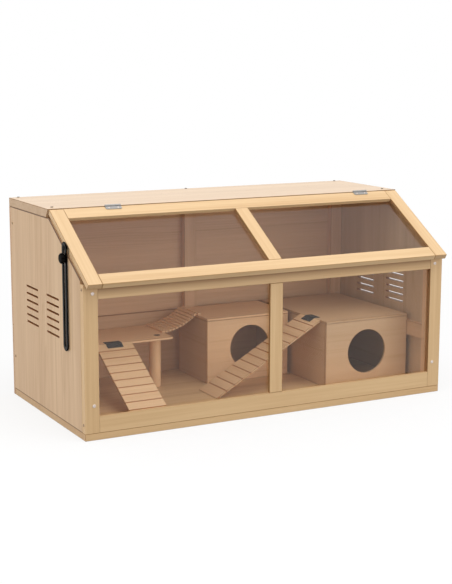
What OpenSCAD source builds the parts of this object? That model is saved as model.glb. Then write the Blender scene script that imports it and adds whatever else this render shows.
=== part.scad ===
// Wooden hamster cage: a boarded case with clear front panes, a sloping glazed lid on two butt hinges,
// a slotted lid stay with a thumb knob, and wooden furniture inside.
// Millimetres. +X is to the right along the front, +Y to the back, +Z up.
// The origin is the centre of the base board's underside.

/* [Case] */
// Width of the case over the side panels
body_w = 1000; // [940:5:1200]
// Depth of the case from front frame to back planks
body_d = 494; // [470:1:560]
// Height to the upper face of the top board
body_h = 514.5; // [480:0.5:600]
// Thickness of the base board
base_t = 17; // [12:0.5:24]
// Thickness of the top board
top_t = 22; // [16:0.5:28]
// Depth of the top board's upper face
top_d = 279; // [250:1:300]
// Thickness of a side panel
side_t = 12; // [9:0.5:16]
// Thickness of a back plank
back_t = 12; // [9:0.5:16]
// Height of the joint between the two back planks
back_joint_z = 186; // [140:1:260]
// Bevel along the plank joint
joint_bevel = 1.5; // [0.5:0.1:3]

/* [Vents] */
// Slots in one column
vent_count = 6; // [3:1:8]
// Length of a slot
vent_l = 82; // [50:1:95]
// Height of a slot
vent_h = 5; // [4:0.5:10]
// Upright pitch of the slots
vent_pitch = 18; // [14:0.5:20]
// Height of the top slot's centre
vent_top_z = 306; // [280:1:320]
// Distance from the front to the centre of the front column
vent_front_y = 194; // [180:1:220]
// Distance between the two columns
vent_column_gap = 141; // [115:1:160]

/* [Front frame] */
// Width of the posts and the mullion
frame_w = 36; // [32:1:44]
// Thickness of the front frame
frame_t = 18; // [17:0.5:24]
// Height of the lower rail
lower_rail_h = 39.5; // [30:0.5:50]
// Height of the upper rail
upper_rail_h = 35.5; // [30:0.5:44]
// Thickness of a clear pane
pane_t = 3; // [2:0.5:4]
// How far a pane reaches into its rabbet
pane_lap = 7; // [5:0.5:9]
// Play of a pane in its rabbet
pane_play = 0.3; // [0.2:0.05:0.5]
// Distance from the frame's front face to the pane
pane_set = 8.5; // [6:0.25:12]
// Distance of the mullions to the right of the middle
mullion_shift = 4.5; // [0:0.5:20]

/* [Inner battens] */
// Width of a back post and of the middle batten
back_post_w = 36; // [28:1:44]
// Thickness of a back post and of the middle batten
back_post_t = 20; // [16:1:24]
// Height of a side batten
side_batten_h = 39; // [24:1:50]
// Thickness of a side batten
side_batten_t = 13; // [10:0.5:16]
// Height of the right batten's lower edge
side_batten_z = 134; // [110:1:150]
// Width of a cleat across the cage
cleat_w = 22; // [10:0.5:24]
// Thickness of a cleat
cleat_t = 18; // [16:0.5:22]

/* [Lid] */
// Slope of the lid
lid_slope = 31.4; // [28:0.1:33]
// Thickness of the lid frame
lid_t = 14; // [14:0.5:18]
// How far the lid reaches past the front frame
lid_overhang = 24; // [10:1:30]
// How far the lid's ends stand back from the side panels
lid_inset = 3; // [2:0.5:6]
// Width of the lid's stiles, rails and mullion
lid_frame_w = 36; // [32:1:44]
// Distance from the lid's upper face to its pane
lid_pane_set = 9.5; // [7:0.25:10.5]
// Clearance under the closed lid
lid_clear = 1.2; // [0.8:0.1:2.5]
// Gap between the lid and the top board, where the hinges fold
hinge_gap = 3; // [2.5:0.1:4]

/* [Hinges] */
// Length of a hinge
hinge_l = 42; // [34:1:60]
// Width of a hinge leaf
leaf_w = 13; // [11:0.5:18]
// Thickness of a hinge leaf
leaf_t = 1.5; // [1:0.1:2]
// Clipped corner of a hinge leaf
leaf_clip = 2.5; // [1:0.5:4]
// Radius of a hinge knuckle
knuckle_r = 2.2; // [1.9:0.1:3.2]
// Radius of a hinge pin
pin_r = 1.2; // [0.9:0.1:1.4]
// Running clearance of a hinge pin
pin_play = 0.05; // [0.02:0.01:0.1]
// Gap between a knuckle and what lies beside or under it
knuckle_gap = 0.3; // [0.2:0.05:0.5]
// Distance from the left side to the left hinge's centre
hinge_left_x = 166; // [120:1:300]
// Distance from the left side to the right hinge's centre
hinge_right_x = 881; // [700:1:900]

/* [Lid stay] */
// Distance down the lid from the top board to the stay's pivot
stay_at = 136.5; // [125:0.5:145]
// Width of the slotted bar
stay_w = 28; // [24:1:30]
// Thickness of the slotted bar
stay_t = 3; // [2:0.5:4]
// Length of the bar below its pivot
stay_l = 244; // [240:1:280]
// Width of the slot
slot_w = 9; // [8:0.5:11]
// Bar left past the slot's lower end
slot_end = 12; // [8:0.5:13]
// Distance from the pivot down to the knob
knob_drop = 24.5; // [22:0.5:30]
// Overall radius of the knob
knob_r = 12.5; // [11:0.5:15]
// Depth of the knob's head
knob_h = 10; // [8:0.5:14]
// Lobes on the knob
knob_lobes = 6; // [5:1:7]
// Radius of the knob's stud
stud_r = 3; // [2.5:0.1:3.5]
// Running clearance of the stud in the side panel
stud_play = 0.06; // [0.03:0.01:0.1]
// Radius of the pivot pin's head
stay_head_r = 6; // [5.8:0.1:8]
// Gap between the lid's end and the pivot pin
stay_pin_gap = 0.4; // [0.3:0.1:0.8]
// Radius of the washer behind the bar
washer_r = 9; // [8:0.5:11]
// Thickness of the washer
washer_t = 1.6; // [1:0.1:2]
// Clearance of the washer round the stud
washer_play = 0.3; // [0.2:0.05:0.6]
// Sliding gap on each face of the washer and the bar
slide_gap = 0.2; // [0.15:0.05:0.4]

/* [Furniture] */
// Thickness of the furniture boards
board_t = 6.5; // [5:0.5:10]
// Depth of the platform, from the back posts
platform_d = 170; // [150:1:180]
// Height of the platform's upper face
platform_z = 154; // [140:1:158]
// Radius of the platform's free corner
platform_corner_r = 8; // [6:1:24]
// Diameter of the platform's post
platform_post_d = 31; // [30:1:40]
// Distance of the post from the platform's free end
platform_post_x = 35; // [24:1:50]
// Distance of the post from the platform's front edge
platform_post_y = 41; // [24:1:60]
// Diameter of the hole over the post
platform_hole_d = 16; // [8:1:16]
// Distance of the hole from the post's middle, towards the free end
platform_hole_x = 6; // [0:0.5:6]
// Depth of the hole in the post
post_bore = 25; // [10:1:40]
// Width of a ramp
ramp_w = 100; // [80:1:104]
// Thickness of a ramp
ramp_t = 5; // [4:0.5:8]
// Height of a ramp's blunt foot
ramp_foot_h = 2; // [1:0.5:4]
// Distance from the left side to the middle of the platform's ramp
ramp_one_x = 197; // [130:1:230]
// Gap between the front frame and the foot of the platform's ramp
ramp_foot_gap = 37; // [10:1:60]
// Run of the hideout's ramp along the floor
ramp_two_run = 305; // [260:1:320]
// Gap between the hideout's ramp and the left hideout's front
ramp_two_gap = 45.5; // [20:0.5:60]
// Pitch of the grooves across a ramp
groove_pitch = 26.5; // [20:0.5:32]
// Width of a groove
groove_w = 2.5; // [1.5:0.25:4]
// Depth of a groove
groove_depth = 1.5; // [1:0.25:2.5]
// Distance from a ramp's upper end to its first groove
groove_start = 27; // [25:1:40]
// Width of the strap at a ramp's upper end
strap_w = 43; // [30:1:60]
// Length of a strap on each side of its bend
strap_l = 17; // [10:1:22]
// Thickness of a strap
strap_t = 1.2; // [0.8:0.1:2]

/* [Hideouts] */
// Width of the left hideout
hideout_left_w = 246; // [230:1:256]
// Depth of the left hideout
hideout_left_d = 172; // [160:1:190]
// Width of the right hideout
hideout_right_w = 255; // [230:1:256]
// Height of a hideout over the floor
hideout_h = 175; // [160:1:185]
// Diameter of a hideout's round door
door_d = 116; // [90:1:124]
// Distance from the left hideout's left end to its door's centre
door_left_x = 128; // [110:1:136]
// Height of the left door's centre over the floor
door_left_z = 89; // [80:1:95]
// Distance from the right hideout's left end to its door's centre
door_right_x = 127; // [110:1:136]
// Height of the right door's centre over the floor
door_right_z = 85; // [78:1:92]
// Gap between the two hideouts, across the cage
hideout_step = 11; // [4:1:30]
// Distance from the front to the right hideout
hideout_right_y = 113; // [90:1:120]
// Gap between the hideouts and the back posts
hideout_back_gap = 1; // [0.5:0.5:4]
// Gap between the right hideout and the side batten
hideout_side_gap = 0.5; // [0.5:0.5:6]

/* [Bridge] */
// Slats that hang between the platform and the hideout
slat_count = 11; // [8:1:11]
// Width of a slat
slat_w = 7.6; // [6:0.2:8]
// Thickness of a slat
slat_t = 5; // [4:0.5:7]
// Length of a slat
slat_l = 104; // [80:1:108]
// Distance from the left hideout's front to the slats' front ends
slat_front_y = 60; // [40:1:64]
// Distance of the first slat's middle from the platform's free end
slat_seat = 2; // [1:0.5:9]
// Distance from the platform's free end to the left hideout
bridge_span = 96; // [88:1:110]
// Clearance of the last hanging slat to the hideout's wall
slat_clear = 0.45; // [0.3:0.05:2]
// Drop of the last hanging slat below the slat on the roof
slat_drop = 1.5; // [0.5:0.25:4]
// Radius of a bridge wire
wire_r = 1; // [0.7:0.1:1.3]
// Clearance round a bridge wire
wire_play = 0.3; // [0.2:0.05:0.5]
// Distance of a wire from the slats' ends
wire_inset = 14; // [8:1:24]

/* [Screws] */
// Radius of a screw's shank
screw_r = 2; // [1.6:0.1:2.2]
// Clearance round a shank
screw_play = 0.15; // [0.1:0.05:0.3]
// Radius of a post screw's head
post_head_r = 4.2; // [3.5:0.1:5]
// Radius of the other screws' heads
head_r = 3.4; // [3:0.1:4.5]
// Height of a screw head
head_h = 1.5; // [1:0.1:2.5]
// Share of a screw head's radius left at its top
head_taper = 0.72; // [0.5:0.02:0.9]
// Depth of a screw in the piece that it holds
screw_bite = 14; // [8:1:16]
// Height of the lower post screws
post_screw_low = 82; // [70:1:110]
// Distance of the upper post screws below the post's top
post_screw_drop = 21.5; // [21:0.5:28]
// Distance of the upper side screws below the post's top
rail_screw_drop = 12; // [9:0.5:14]
// Height of the lower back side screws
back_screw_low = 105; // [60:1:126]
// Height of the upper back side screws
back_screw_high = 451; // [400:1:460]
// Distance from the top board's front corner to its front screws
top_screw_y = 32; // [28:1:60]
// Radius of a hinge screw's shank
hinge_screw_r = 1.1; // [0.9:0.1:1.3]
// Radius of a hinge screw's head
hinge_head_r = 2.2; // [1.8:0.1:2.6]
// Height of a hinge screw's head
hinge_head_h = 0.8; // [0.5:0.1:1]
// Distance of a hinge screw from the hinge's middle
hinge_screw_x = 12; // [9:0.5:14]
// Distance of a hinge screw from the pin
hinge_screw_y = 8; // [6.5:0.5:9.5]
// Depth of a hinge screw in the wood
hinge_screw_bite = 11; // [8:0.5:12]

/* [Hidden] */
$fn = 48;

// Outer and inner faces of the case
left = -body_w / 2;
right = body_w / 2;
front = -body_d / 2;
back = body_d / 2;
in_left = left + side_t;
in_right = right - side_t;
in_back = back - back_t;
frame_back = front + frame_t;
post_face = in_back - back_post_t;
cleat_back = frame_back + cleat_t;
top_under = body_h - top_t;

// The ridge is the upper front corner of the top board, which the lid's upper face runs through
ridge_y = back - top_d;
lid_l = (ridge_y - front + lid_overhang) / cos(lid_slope) - hinge_gap;
lid_left = left + lid_inset;
lid_w = body_w - 2 * lid_inset;
lid_foot = -hinge_gap - lid_l;

// Height, at depth y, of the plane that clears the closed lid's underside
function under_lid(y) = body_h + (y - ridge_y) * tan(lid_slope) - (lid_t + lid_clear) / cos(lid_slope);
post_top = under_lid(front);
upper_rail_z = post_top - upper_rail_h;
lower_rail_top = base_t + lower_rail_h;
slope_top_y = ridge_y + (top_under - body_h + (lid_t + lid_clear) / cos(lid_slope)) / tan(lid_slope);

// Hinge axis in the lid's own axes
axis_y = -hinge_gap / 2;
axis_z = knuckle_r + knuckle_gap;

// The stay's pivot in the middle of the lid's edge, and the knob below it
stay_y = ridge_y - stay_at * cos(lid_slope) + lid_t / 2 * sin(lid_slope);
stay_z = body_h - stay_at * sin(lid_slope) - lid_t / 2 * cos(lid_slope);
knob_z = stay_z - knob_drop;
bar_inner_x = left - washer_t - 2 * slide_gap;
bar_outer_x = bar_inner_x - stay_t;
slot_foot = stay_l - slot_end - slot_w / 2;

// Furniture on the floor
floor_z = base_t;
hideout_back_y = post_face - hideout_back_gap;
hideout_right_x = in_right - side_batten_t - hideout_side_gap - hideout_right_w;
hideout_right_d = hideout_back_y - front - hideout_right_y;
hideout_left_x = hideout_right_x - hideout_step - hideout_left_w;
hideout_left_y = hideout_back_y - hideout_left_d;
// Each hideout as its front left corner, its width and its depth
hideout_left = [hideout_left_x, hideout_left_y, hideout_left_w, hideout_left_d];
hideout_right = [hideout_right_x, front + hideout_right_y, hideout_right_w, hideout_right_d];
hideout_top = floor_z + hideout_h;
wall_h = hideout_h - board_t;
platform_right = hideout_left_x - bridge_span;
platform_front = post_face - platform_d;
platform_under = platform_z - board_t;
post_at = [platform_right - platform_post_x, platform_front + platform_post_y];
ramp_one_run = platform_front - frame_back - ramp_foot_gap;
ramp_one_rise = platform_z - floor_z;
ramp_two_y = hideout_left_y - ramp_two_gap - ramp_w / 2;

// Bridge: slats along a parabola that leaves the platform level and climbs to the hideout's roof
bridge_x = platform_right - slat_seat;
bridge_z = platform_z + slat_t / 2;
bridge_run = bridge_span + slat_seat - sqrt(slat_w * slat_w + slat_t * slat_t) / 2 - slat_clear;
bridge_rise = hideout_top - platform_z - slat_drop;
bridge_y = hideout_left_y + slat_front_y;
bend = 2 * bridge_rise / (bridge_run * bridge_run);
end_slope = bend * bridge_run;
bridge_arc = bridge_run / 2 * sqrt(1 + end_slope * end_slope)
    + ln(end_slope + sqrt(1 + end_slope * end_slope)) / (2 * bend);
slat_pitch = bridge_arc / (slat_count - 1);
function slat_x(i) = i == 0 ? 0 : let (x = slat_x(i - 1), m = x + slat_pitch / 2 / sqrt(1 + pow(bend * x, 2)))
    x + slat_pitch / sqrt(1 + pow(bend * m, 2));
// Middle and tilt of each slat; the last one lies flat on the roof
slats = concat(
    [for (i = [0:slat_count - 1]) let (x = slat_x(i))
        [bridge_x + x, bridge_z + bend * x * x / 2, atan(bend * x)]],
    [[hideout_left_x + slat_w, hideout_top + slat_t / 2, 0]]
);

// Screws, as the points on the faces that their heads sit on
post_screw_x = side_t + cleat_w / 2;
post_screw_points = [for (x = [left + post_screw_x, right - post_screw_x])
    for (z = [post_screw_low, post_top - post_screw_drop]) [x, front, z]];
rail_screw_points = [for (z = [base_t + lower_rail_h / 2, post_top - rail_screw_drop])
    [front + frame_t / 2, z]];
back_screw_points = [for (z = [back_screw_low, back_screw_high]) [in_back - back_post_t / 2, z]];
back_top_points = [for (x = [left + post_screw_x, 0, right - post_screw_x]) [x, back - back_t / 2, body_h]];
front_top_points = [for (x = [left + post_screw_x, right - post_screw_x]) [x, ridge_y + top_screw_y, body_h]];
hinge_centres = [left + hinge_left_x, left + hinge_right_x];

// Shared shapes

module board(corner, size) translate(corner) cube(size);

// A board cut from an outline in the YZ plane and run along X
module yz_board(x, width, outline) translate([x, 0, 0]) rotate([90, 0, 90]) linear_extrude(width) polygon(outline);

// Lid axes: X along the ridge, Y up the slope, Z out of the lid's upper face
module on_lid() translate([0, ridge_y, body_h]) rotate([lid_slope, 0, 0]) children();

module put(points, turn) for (p = points) translate(p) rotate(turn) children();

// A screw that points along +Z from its seat, and the hole for it
module screw(length, radius, cap_r, cap_h) {
    cylinder(h = length, r = radius);
    translate([0, 0, -cap_h]) cylinder(h = cap_h, r1 = cap_r * head_taper, r2 = cap_r);
}
module bore(length, radius) translate([0, 0, -1]) cylinder(h = length + 2, r = radius + screw_play);

// A slot with round ends, along Y, cut through along X
module slot(length, height, depth) {
    straight = length - height;
    translate([0, -straight / 2, -height / 2]) cube([depth, straight, height]);
    for (y = [-straight / 2, straight / 2]) translate([0, y, 0]) rotate([0, 90, 0]) cylinder(h = depth, d = height);
}

// Screw sets; each is drawn as screws or as the holes for them
module post_screw_set(holes) put(post_screw_points, [-90, 0, 0])
    if (holes) bore(frame_t + screw_bite, screw_r);
    else screw(frame_t + screw_bite, screw_r, post_head_r, head_h);

module side_screw_set(holes) for (side = [0, 1]) mirror([side, 0, 0]) {
    for (p = rail_screw_points) translate([left, p[0], p[1]]) rotate([0, 90, 0])
        if (holes) bore(frame_w + screw_bite, screw_r);
        else screw(frame_w + screw_bite, screw_r, head_r, head_h);
    for (p = back_screw_points) translate([left, p[0], p[1]]) rotate([0, 90, 0])
        if (holes) bore(side_t + screw_bite, screw_r);
        else screw(side_t + screw_bite, screw_r, head_r, head_h);
}

module top_screw_set(holes) put(concat(back_top_points, front_top_points), [180, 0, 0])
    if (holes) bore(top_t + screw_bite, screw_r);
    else screw(top_t + screw_bite, screw_r, head_r, head_h);

module hinge_lid_screw_set(holes) on_lid()
    for (c = hinge_centres, dx = [-hinge_screw_x, hinge_screw_x])
        translate([c + dx, axis_y - hinge_screw_y, leaf_t]) rotate([180, 0, 0])
            if (holes) bore(leaf_t + hinge_screw_bite, hinge_screw_r);
            else screw(leaf_t + hinge_screw_bite, hinge_screw_r, hinge_head_r, hinge_head_h);

module hinge_board_screw_set(holes) on_lid()
    for (c = hinge_centres, dx = [-hinge_screw_x, hinge_screw_x])
        translate([c + dx, -leaf_t, -hinge_screw_y]) rotate([-90, 0, 0])
            if (holes) bore(leaf_t + hinge_screw_bite, hinge_screw_r);
            else screw(leaf_t + hinge_screw_bite, hinge_screw_r, hinge_head_r, hinge_head_h);

// Case

module base_board() color("burlywood")
    board([left, front, 0], [body_w, in_back - front, base_t]);

module back_plank_lower() color("tan")
    yz_board(left, body_w, [
        [in_back, 0], [back, 0], [back, back_joint_z], [in_back + joint_bevel, back_joint_z],
        [in_back, back_joint_z - joint_bevel]
    ]);

module back_plank_upper() color("tan") difference() {
    yz_board(left, body_w, [
        [in_back + joint_bevel, back_joint_z], [back, back_joint_z], [back, top_under], [in_back, top_under],
        [in_back, back_joint_z + joint_bevel]
    ]);
    top_screw_set(true);
}

// Side panel with its two columns of vent slots, drawn on the left
module side_panel() difference() {
    yz_board(left, side_t, [
        [frame_back, base_t], [in_back, base_t], [in_back, top_under], [slope_top_y, top_under],
        [frame_back, under_lid(frame_back)]
    ]);
    for (column = [0, 1], i = [0:vent_count - 1])
        translate([left - 1, front + vent_front_y + column * vent_column_gap, vent_top_z - i * vent_pitch])
            slot(vent_l, vent_h, side_t + 2);
    side_screw_set(true);
}
module side_panel_left() color("burlywood") difference() {
    side_panel();
    translate([left - 1, stay_y, knob_z]) rotate([0, 90, 0]) cylinder(h = side_t + 2, r = stud_r + stud_play);
}
module side_panel_right() color("burlywood") mirror([1, 0, 0]) side_panel();

module top_board() color("wheat") difference() {
    yz_board(left, body_w, [
        [ridge_y, body_h], [back, body_h], [back, top_under], [ridge_y + top_t * tan(lid_slope), top_under]
    ]);
    top_screw_set(true);
    hinge_board_screw_set(true);
}

// Front frame, with the panes in rabbets that are open to the back

// Left and right edge of the clear opening on one side of the mullion
function front_span(side) = side < 0
    ? [left + frame_w, mullion_shift - frame_w / 2]
    : [mullion_shift + frame_w / 2, right - frame_w];
module front_pane(side, thick, play) {
    span = front_span(side);
    reach = pane_lap - pane_play + play;
    translate([span[0] - reach, front + pane_set - play, lower_rail_top - reach])
        cube([span[1] - span[0] + 2 * reach, thick + play, upper_rail_z - lower_rail_top + 2 * reach]);
}
module front_pane_left() color("lightcyan", 0.4) front_pane(-1, pane_t, 0);
module front_pane_right() color("lightcyan", 0.4) front_pane(1, pane_t, 0);
module front_rabbets() for (side = [-1, 1]) front_pane(side, frame_t, pane_play);

module front_post(x) difference() {
    board([x, front, base_t], [frame_w, frame_t, post_top - base_t]);
    front_rabbets();
    post_screw_set(true);
    side_screw_set(true);
}
module front_post_left() color("burlywood") front_post(left);
module front_post_right() color("burlywood") front_post(right - frame_w);

module front_rail(z, height) difference() {
    board([left + frame_w, front, z], [body_w - 2 * frame_w, frame_t, height]);
    front_rabbets();
    side_screw_set(true);
}
module front_upper_rail() color("burlywood") front_rail(upper_rail_z, upper_rail_h);
module front_lower_rail() color("burlywood") front_rail(base_t, lower_rail_h);

module front_mullion() color("burlywood") difference() {
    board(
        [mullion_shift - frame_w / 2, front, lower_rail_top],
        [frame_w, frame_t, upper_rail_z - lower_rail_top]
    );
    front_rabbets();
}

// Battens and cleats inside the case

module front_cleat(x) difference() {
    board([x, frame_back, base_t], [cleat_w, cleat_t, post_top - base_t]);
    post_screw_set(true);
}
module front_cleat_left() color("tan") front_cleat(in_left);
module front_cleat_right() color("tan") front_cleat(in_right - cleat_w);

module back_post(x) difference() {
    board([x, post_face, base_t], [back_post_w, back_post_t, top_under - base_t]);
    side_screw_set(true);
}
module back_post_left() color("tan") back_post(in_left);
module back_post_right() color("tan") back_post(in_right - back_post_w);
module back_middle_batten() color("tan")
    board([-back_post_w / 2, post_face, base_t], [back_post_w, back_post_t, top_under - base_t]);

module side_batten(x, z) board([x, cleat_back, z], [side_batten_t, post_face - cleat_back, side_batten_h]);
module side_batten_left() color("tan") side_batten(in_left, platform_under - side_batten_h);
module side_batten_right() color("tan") side_batten(in_right - side_batten_t, side_batten_z);

module top_cleat(x) difference() {
    start = ridge_y + top_t;
    board([x, start, top_under - cleat_t], [cleat_w, post_face - start, cleat_t]);
    top_screw_set(true);
}
module top_cleats() color("tan") {
    top_cleat(in_left);
    top_cleat(in_right - cleat_w);
}

// Lid, with the panes in rabbets that are open below

// Left and right edge of the clear opening on one side of the lid's mullion
function lid_span(side) = side < 0
    ? [lid_left + lid_frame_w, mullion_shift - lid_frame_w / 2]
    : [mullion_shift + lid_frame_w / 2, -lid_left - lid_frame_w];
module lid_pane(side, thick, play) on_lid() {
    span = lid_span(side);
    reach = pane_lap - pane_play + play;
    translate([span[0] - reach, lid_foot + lid_frame_w - reach, -lid_pane_set - thick])
        cube([span[1] - span[0] + 2 * reach, lid_l - 2 * lid_frame_w + 2 * reach, thick + play]);
}
module lid_pane_left() color("lightcyan", 0.4) lid_pane(-1, pane_t, 0);
module lid_pane_right() color("lightcyan", 0.4) lid_pane(1, pane_t, 0);
module lid_rabbets() for (side = [-1, 1]) lid_pane(side, lid_t, pane_play);

// A lid member from its corner and its size in the lid's axes
module lid_member(x, y, width, length) difference() {
    on_lid() translate([x, y, -lid_t]) cube([width, length, lid_t]);
    lid_rabbets();
    hinge_lid_screw_set(true);
}
module lid_stile_left() color("navajowhite") lid_member(lid_left, lid_foot, lid_frame_w, lid_l);
module lid_stile_right() color("navajowhite") lid_member(-lid_left - lid_frame_w, lid_foot, lid_frame_w, lid_l);
module lid_rail(y) lid_member(lid_left + lid_frame_w, y, lid_w - 2 * lid_frame_w, lid_frame_w);
module lid_top_rail() color("navajowhite") lid_rail(-hinge_gap - lid_frame_w);
module lid_bottom_rail() color("navajowhite") lid_rail(lid_foot);
module lid_mullion() color("navajowhite")
    lid_member(mullion_shift - lid_frame_w / 2, lid_foot + lid_frame_w, lid_frame_w, lid_l - 2 * lid_frame_w);

// Hinges: the board leaf folds down the top board's bevel, the lid leaf lies on the lid

third = hinge_l / 3;
module knuckle(x, length, radius) translate([x - length / 2, axis_y, axis_z]) rotate([0, 90, 0])
    cylinder(h = length, r = radius);

// Leaf plate that lies in the XY plane, with its free edge at y = -leaf_w and its corners there clipped
module leaf_plate(edge) linear_extrude(leaf_t) polygon([
    [-hinge_l / 2, edge], [-hinge_l / 2, leaf_clip - leaf_w], [leaf_clip - hinge_l / 2, -leaf_w],
    [hinge_l / 2 - leaf_clip, -leaf_w], [hinge_l / 2, leaf_clip - leaf_w], [hinge_l / 2, edge]
]);
module hinge_board_leaf(centre) difference() {
    on_lid() translate([centre, 0, 0]) {
        rotate([90, 0, 0]) leaf_plate(-knuckle_gap);
        for (side = [-1, 1]) {
            knuckle(side * third, third - knuckle_gap, knuckle_r);
            translate([side * third - (third - knuckle_gap) / 2, -leaf_t, -knuckle_gap - 1])
                cube([third - knuckle_gap, leaf_t, axis_z + knuckle_gap + 1]);
        }
    }
    on_lid() knuckle(centre, hinge_l + 2, pin_r + pin_play);
    hinge_board_screw_set(true);
}
module hinge_lid_leaf(centre) difference() {
    on_lid() translate([centre, 0, 0]) {
        clear = knuckle_r + knuckle_gap;
        translate([0, axis_y, 0]) leaf_plate(-clear);
        knuckle(0, third - knuckle_gap, knuckle_r);
        translate([-(third - knuckle_gap) / 2, axis_y - clear - 1, knuckle_gap])
            cube([third - knuckle_gap, clear + 1, leaf_t - knuckle_gap]);
    }
    on_lid() knuckle(centre, hinge_l + 2, pin_r + pin_play);
    hinge_lid_screw_set(true);
}
module hinge_pin(centre) on_lid() knuckle(centre, hinge_l, pin_r);
module hinge_left_board_leaf() color("lightsteelblue") hinge_board_leaf(hinge_centres[0]);
module hinge_left_lid_leaf() color("lightsteelblue") hinge_lid_leaf(hinge_centres[0]);
module hinge_left_pin() color("silver") hinge_pin(hinge_centres[0]);
module hinge_right_board_leaf() color("lightsteelblue") hinge_board_leaf(hinge_centres[1]);
module hinge_right_lid_leaf() color("lightsteelblue") hinge_lid_leaf(hinge_centres[1]);
module hinge_right_pin() color("silver") hinge_pin(hinge_centres[1]);

// Lid stay

// A round-ended strip in the plane of the side panel, from z = top to z = foot
module strip(x, thick, width, top, foot) {
    translate([x, -width / 2, foot]) cube([thick, width, top - foot]);
    for (z = [top, foot]) translate([x, 0, z]) rotate([0, 90, 0]) cylinder(h = thick, d = width);
}
module stay_bar() color("black") translate([0, stay_y, stay_z]) difference() {
    strip(bar_outer_x, stay_t, stay_w, 0, stay_w / 2 - stay_l);
    strip(bar_outer_x - 1, stay_t + 2, slot_w, 0, -slot_foot);
}
module stay_pin() color("dimgray") translate([bar_outer_x, stay_y, stay_z]) rotate([0, 90, 0])
    screw(lid_left - stay_pin_gap - bar_outer_x, slot_w / 2 - slide_gap, stay_head_r, head_h);

module stay_washer() color("silver") translate([left - slide_gap - washer_t, stay_y, knob_z]) rotate([0, 90, 0])
    difference() {
        cylinder(h = washer_t, r = washer_r);
        translate([0, 0, -1]) cylinder(h = washer_t + 2, r = stud_r + washer_play);
    }

// Thumb knob: a lobed head with a domed face, and a stud through the slot into the side panel
module stay_knob() color("black") translate([bar_outer_x - slide_gap, stay_y, knob_z]) rotate([0, 90, 0]) {
    lobe_r = knob_r * 0.3;
    intersection() {
        translate([0, 0, -knob_h]) union() {
            cylinder(h = knob_h, r = knob_r * 0.76);
            for (i = [0:knob_lobes - 1]) rotate(i * 360 / knob_lobes)
                translate([knob_r - lobe_r, 0, 0]) cylinder(h = knob_h, r = lobe_r);
        }
        rotate_extrude() polygon([
            [0, 1], [knob_r * 0.8, 1], [knob_r, -knob_h * 0.25], [knob_r, -knob_h * 0.7],
            [knob_r * 0.86, -knob_h * 0.92], [knob_r * 0.6, -knob_h], [0, -knob_h]
        ]);
    }
    cylinder(h = left + side_t * 0.9 - bar_outer_x + slide_gap, r = stud_r);
}

// Furniture

// Hole through the platform into its post
module platform_hole() translate([post_at[0] + platform_hole_x, post_at[1], platform_under - post_bore])
    cylinder(h = post_bore + board_t + 1, d = platform_hole_d);

module platform_board() color("burlywood") difference() {
    width = platform_right - in_left;
    translate([in_left, platform_front, platform_under]) linear_extrude(board_t) union() {
        translate([0, platform_corner_r]) square([width, platform_d - platform_corner_r]);
        square([width - platform_corner_r, platform_d]);
        translate([width - platform_corner_r, platform_corner_r]) circle(r = platform_corner_r);
    }
    platform_hole();
}
module platform_post() color("burlywood") difference() {
    translate([post_at[0], post_at[1], floor_z]) cylinder(h = platform_under - floor_z, d = platform_post_d);
    platform_hole();
}

// Ramp whose upper face ends at the origin; it runs down along -Y, cut upright at its top and level at its foot
function ramp_slope(run, rise) = atan((rise - ramp_foot_h) / run);
module ramp(run, rise) {
    slope = ramp_slope(run, rise);
    upright = ramp_t / cos(slope);
    heel = -(rise - upright) / tan(slope);
    length = run / cos(slope);
    difference() {
        yz_board(-ramp_w / 2, ramp_w, [
            [0, 0], [0, -upright], [heel, -rise], [-run, -rise], [-run, ramp_foot_h - rise]
        ]);
        rotate([slope, 0, 0]) for (y = [-groove_start:-groove_pitch:groove_w * 4 - length])
            translate([-ramp_w / 2 - 1, y - groove_w / 2, -groove_depth])
                cube([ramp_w + 2, groove_w, groove_depth + 1]);
    }
}

// Strap that lies on a ramp's upper end and bends over on to the level board behind it
module ramp_strap(run, rise) {
    slope = ramp_slope(run, rise);
    down = [-strap_l * cos(slope), -strap_l * sin(slope)];
    out = [-strap_t * sin(slope), strap_t * cos(slope)];
    yz_board(-strap_w / 2, strap_w, [
        [0, 0], [strap_l, 0], [strap_l, strap_t], [-strap_t * tan(slope / 2), strap_t], down + out, down
    ]);
}

module at_platform_ramp() translate([left + ramp_one_x, platform_front, platform_z]) children();
module at_hideout_ramp() translate([hideout_right_x, ramp_two_y, hideout_top]) rotate([0, 0, -90]) children();
module platform_ramp() color("burlywood") at_platform_ramp() ramp(ramp_one_run, ramp_one_rise);
module hideout_ramp() color("burlywood") at_hideout_ramp() ramp(ramp_two_run, hideout_h);
module ramp_straps() color("dimgray") {
    at_platform_ramp() ramp_strap(ramp_one_run, ramp_one_rise);
    at_hideout_ramp() ramp_strap(ramp_two_run, hideout_h);
}

module bridge_slats() color("burlywood") for (s = slats)
    translate([s[0], bridge_y, s[1]]) rotate([0, -s[2], 0]) difference() {
        translate([-slat_w / 2, 0, -slat_t / 2]) cube([slat_w, slat_l, slat_t]);
        for (y = [wire_inset, slat_l - wire_inset])
            translate([-slat_w, y, 0]) rotate([0, 90, 0]) cylinder(h = 2 * slat_w, r = wire_r + wire_play);
    }

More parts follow.
